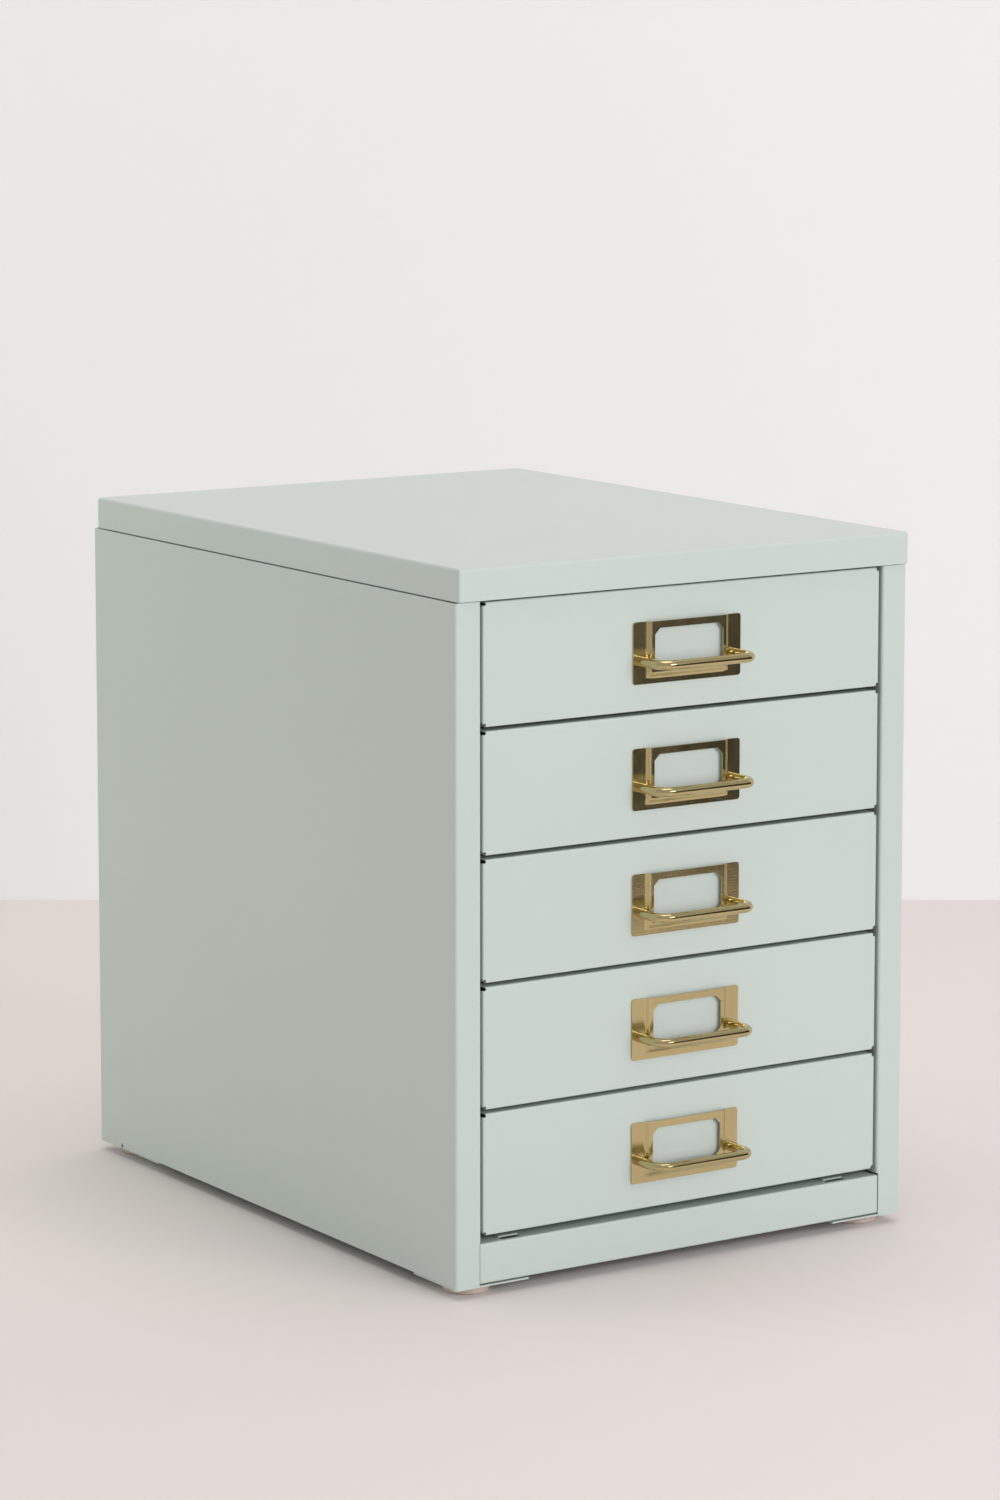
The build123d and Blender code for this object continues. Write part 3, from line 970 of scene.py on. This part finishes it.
class CABINET_OT_top_screws(bpy.types.Operator):
    """Put the cross-recess screws under the top flanges"""

    bl_idname = "cabinet.top_screws"
    bl_label = "Top screws"

    def execute(self, context):
        """Four screws, heads down, in the corners of their node's box."""
        low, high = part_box("top_screws")
        length = high.z - low.z - SCREW_HEAD_HEIGHT
        pattern = model_screw("top_screw", TOP_SCREW_HEAD, TOP_SCREW_SHANK, length)
        head_down = Matrix.Rotation(math.pi, 4, "X")
        turn_x, turn_y = TOP_SCREW_TURNS
        screws = []
        for x in (low.x + TOP_SCREW_HEAD, high.x - TOP_SCREW_HEAD):
            for y in (low.y + TOP_SCREW_HEAD, high.y - TOP_SCREW_HEAD):
                place = Matrix.Translation((x, y, low.z + SCREW_HEAD_HEIGHT))
                recess = Matrix.Rotation(x * turn_x + y * turn_y, 4, "Z")
                screws.append(copied(pattern, "top_screw_copy", place @ head_down @ recess))
        piece = joined("top_rail_screws", screws)
        zinc = material_named("zinc_plate", zinc_plate)
        finish_piece(piece, zinc, "cabinet", "zinc_fasteners", "top_screws")
        remove(pattern)
        return {"FINISHED"}


class CABINET_OT_back_rivets(bpy.types.Operator):
    """Set the blind rivets of the back panel"""

    bl_idname = "cabinet.back_rivets"
    bl_label = "Back rivets"

    def execute(self, context):
        """Low domes with the small hole that the pulled pin leaves."""
        low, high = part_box("back_rivets")
        dome = RIVET_HEAD_HEIGHT * 0.85
        pattern = start(
            bpy.ops.mesh.primitive_cylinder_add,
            "rivet",
            vertices=ROUND_SIDES,
            radius=RIVET_HEAD,
            depth=RIVET_HEAD_HEIGHT,
            location=(0, 0, RIVET_HEAD_HEIGHT / 2),
        )
        edit(pattern)
        pick(pattern, "edges", lambda e, at: at.z > RIVET_HEAD_HEIGHT - TINY)
        bpy.ops.mesh.bevel(offset=dome, segments=5, affect="EDGES")
        pick(pattern, "faces", lambda f, at: f.normal.z > 0.99 and len(f.verts) > 8)
        bpy.ops.mesh.inset(thickness=RIVET_HEAD - dome - RIVET_HOLE)
        extrude(0, 0, -RIVET_HOLE_DEPTH)
        pick(pattern, "faces", lambda f, at: f.normal.z < -0.9)
        bpy.ops.mesh.inset(thickness=RIVET_HEAD - RIVET_SHANK)
        extrude(0, 0, -(high.y - low.y - RIVET_HEAD_HEIGHT))
        close(pattern)
        step = (high.z - low.z - 2 * RIVET_HEAD) / (RIVET_ROWS - 1)
        backwards = Matrix.Rotation(-RIGHT_ANGLE, 4, "X")
        rivets = []
        for x in (low.x + RIVET_HEAD, high.x - RIVET_HEAD):
            for row in range(RIVET_ROWS):
                place = (x, high.y - RIVET_HEAD_HEIGHT, low.z + RIVET_HEAD + row * step)
                matrix = Matrix.Translation(place) @ backwards
                rivets.append(copied(pattern, "rivet_copy", matrix))
        piece = joined("back_rivet_set", rivets)
        zinc = material_named("zinc_plate", zinc_plate)
        finish_piece(piece, zinc, "cabinet", "zinc_fasteners", "back_rivets")
        remove(pattern)
        return {"FINISHED"}


class CABINET_OT_rubber_feet(bpy.types.Operator):
    """Mould the four rubber feet"""

    bl_idname = "cabinet.rubber_feet"
    bl_label = "Rubber feet"

    def execute(self, context):
        """A disc that narrows and rounds towards the floor, with a shallow dish under it."""
        first = "foot_front_left"
        low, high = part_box(first)
        centre = (low + high) / 2
        radius = (high.x - low.x) / 2
        dish_edge = radius * 0.35
        pattern = start(
            bpy.ops.mesh.primitive_cylinder_add,
            "bumper",
            vertices=FOOT_SIDES,
            radius=radius,
            depth=high.z - low.z,
            location=centre,
        )
        edit(pattern)
        pick(pattern, "verts", lambda v, at: at.z < low.z + TINY)
        shrink = (radius - FOOT_TAPER) / radius
        bpy.ops.transform.resize(value=(shrink, shrink, 1.0), center_override=centre.to_tuple())
        pick(pattern, "edges", lambda e, at: at.z < low.z + TINY)
        bpy.ops.mesh.bevel(offset=FOOT_ROUNDING, segments=5, affect="EDGES")
        pick(pattern, "faces", lambda f, at: f.normal.z < -0.99 and len(f.verts) > 8)
        bpy.ops.mesh.inset(thickness=dish_edge)
        bpy.ops.transform.translate(value=(0, 0, DISH_DEPTH))
        pick(pattern, "edges", lambda e, at: at.z > high.z - TINY)
        bpy.ops.mesh.bevel(offset=FOOT_EDGE, segments=2, affect="EDGES")
        close(pattern)
        rubber = material_named("bumper_rubber", bumper_rubber)
        for place in ("front_left", "front_right", "rear_left", "rear_right"):
            node = f"foot_{place}"
            piece = copied(pattern, f"bumper_{place}", node_step(node, first))
            finish_piece(piece, rubber, "cabinet", "rubber_feet", node)
        remove(pattern)
        return {"FINISHED"}


# ---- Stage -------------------------------------------------------------------------
def stage_material(name, colour, one_sided=False):
    """Plain matt stage paint. From behind, a one-sided surface lets everything through."""
    material, tree = new_material(name)
    matt = add_node(
        tree,
        "ShaderNodeBsdfPrincipled",
        values={"Base Color": colour, "Roughness": STAGE_ROUGHNESS},
    )
    surface = matt.outputs["BSDF"]
    if one_sided:
        rear = add_node(tree, "ShaderNodeNewGeometry").outputs["Backfacing"]
        clear = add_node(tree, "ShaderNodeBsdfTransparent").outputs["BSDF"]
        surface = add_node(
            tree, "ShaderNodeMixShader", links={0: rear, 1: surface, 2: clear}
        ).outputs["Shader"]
    add_node(tree, "ShaderNodeOutputMaterial", links={"Surface": surface})
    return material


class CABINET_OT_stage(bpy.types.Operator):
    """Set up the floor, the backdrop, the lights and the camera"""

    bl_idname = "cabinet.stage"
    bl_label = "Stage"

    def execute(self, context):
        """A pale floor and wall, a card, an even room light, three soft lamps and the camera."""
        settings = context.scene.stage_settings
        self.surfaces(settings)
        self.card(settings)
        self.lights(context, settings)
        self.camera(context, settings)
        context.scene.view_settings.view_transform = "Standard"
        return {"FINISHED"}

    def surfaces(self, settings):
        """Floor and backdrop. The backdrop stands square to the camera."""
        floor = start(bpy.ops.mesh.primitive_plane_add, "floor", size=FLOOR_SIZE)
        floor.data.materials.append(stage_material("floor_matt", settings.floor_colour))
        eye = Vector(settings.camera_place)
        ahead = Vector((math.sin(settings.camera_yaw), math.cos(settings.camera_yaw), 0))
        foot = Vector((eye.x, eye.y, 0)) + ahead * settings.wall_distance
        wall = start(
            bpy.ops.mesh.primitive_plane_add,
            "backdrop",
            size=WALL_SIZE,
            location=foot + Vector((0, 0, WALL_SIZE / 2)),
            rotation=(RIGHT_ANGLE, 0, -settings.camera_yaw),
        )
        wall.data.materials.append(
            stage_material("backdrop_matt", settings.wall_colour, one_sided=True)
        )

    def card(self, settings):
        """A dark card on the right in front, which shows only in reflections."""
        card = start(
            bpy.ops.mesh.primitive_plane_add,
            "dark_card",
            stretch=CARD_SIZE,
            size=1.0,
            location=CARD_PLACE,
            rotation=(RIGHT_ANGLE, 0, CARD_TURN),
        )
        card.data.materials.append(stage_material("card_matt", settings.card_colour))
        for ray in ("camera", "diffuse", "shadow", "transmission", "volume_scatter"):
            setattr(card, f"visible_{ray}", False)

    def lights(self, context, settings):
        """Even room light and three soft lamps that face the cabinet."""
        world = bpy.data.worlds.new("room")
        world.use_nodes = True
        background = world.node_tree.nodes["Background"]
        background.inputs["Color"].default_value = (1.0, 1.0, 1.0, 1.0)
        background.inputs["Strength"].default_value = settings.world_level
        context.scene.world = world
        for name, place, size, colour in LAMPS:
            lamp = bpy.data.lights.new(name, "AREA")
            lamp.size = size
            lamp.energy = getattr(settings, f"{name}_power")
            lamp.color = linear(colour)[:3]
            holder = bpy.data.objects.new(name, lamp)
            holder.location = place
            aim = Vector(LAMP_TARGET) - Vector(place)
            holder.rotation_euler = aim.to_track_quat("-Z", "Y").to_euler()
            holder.visible_camera = False
            context.scene.collection.objects.link(holder)

    def camera(self, context, settings):
        """The photograph's viewpoint."""
        lens = bpy.data.cameras.new("camera")
        lens.lens = settings.camera_lens
        lens.sensor_width = 36.0
        lens.shift_y = settings.camera_shift
        lens.clip_start = 0.05
        lens.clip_end = 50.0
        holder = bpy.data.objects.new("camera", lens)
        holder.location = settings.camera_place
        holder.rotation_euler = (
            RIGHT_ANGLE - settings.camera_tilt,
            0,
            -settings.camera_yaw,
        )
        context.scene.collection.objects.link(holder)
        context.scene.camera = holder


# ---- Panel and registration --------------------------------------------------------
OPERATORS = (
    CABINET_OT_paint_steel,
    CABINET_OT_pull_bars,
    CABINET_OT_label_plates,
    CABINET_OT_pull_screws,
    CABINET_OT_top_screws,
    CABINET_OT_back_rivets,
    CABINET_OT_rubber_feet,
    CABINET_OT_stage,
)


class CABINET_PT_looks(bpy.types.Panel):
    """Buttons and settings for the cabinet's looks"""

    bl_idname = "CABINET_PT_looks"
    bl_label = "Drawer cabinet"
    bl_space_type = "VIEW_3D"
    bl_region_type = "UI"
    bl_category = "Cabinet"

    def draw(self, context):
        """One button for each operator, then the settings."""
        for operator in OPERATORS:
            self.layout.operator(operator.bl_idname)
        for group in ("cabinet_finish", "pull_sizes", "stage_settings"):
            settings = getattr(context.scene, group)
            box = self.layout.box()
            for name in settings.__annotations__:
                box.prop(settings, name)


CLASSES = (CabinetFinish, PullSizes, StageSettings, *OPERATORS, CABINET_PT_looks)


def register():
    """Registers the classes and hangs the settings on the scene."""
    for each in CLASSES:
        bpy.utils.register_class(each)
    bpy.types.Scene.cabinet_finish = bpy.props.PointerProperty(type=CabinetFinish)
    bpy.types.Scene.pull_sizes = bpy.props.PointerProperty(type=PullSizes)
    bpy.types.Scene.stage_settings = bpy.props.PointerProperty(type=StageSettings)


def unregister():
    """Takes the settings and classes away again."""
    del bpy.types.Scene.cabinet_finish
    del bpy.types.Scene.pull_sizes
    del bpy.types.Scene.stage_settings
    for each in reversed(CLASSES):
        bpy.utils.unregister_class(each)


def main():
    """Runs every operator in order."""
    register()
    bpy.ops.cabinet.paint_steel()
    bpy.ops.cabinet.pull_bars()
    bpy.ops.cabinet.label_plates()
    bpy.ops.cabinet.pull_screws()
    bpy.ops.cabinet.top_screws()
    bpy.ops.cabinet.back_rivets()
    bpy.ops.cabinet.rubber_feet()
    bpy.ops.cabinet.stage()


if __name__ == "__main__":
    main()
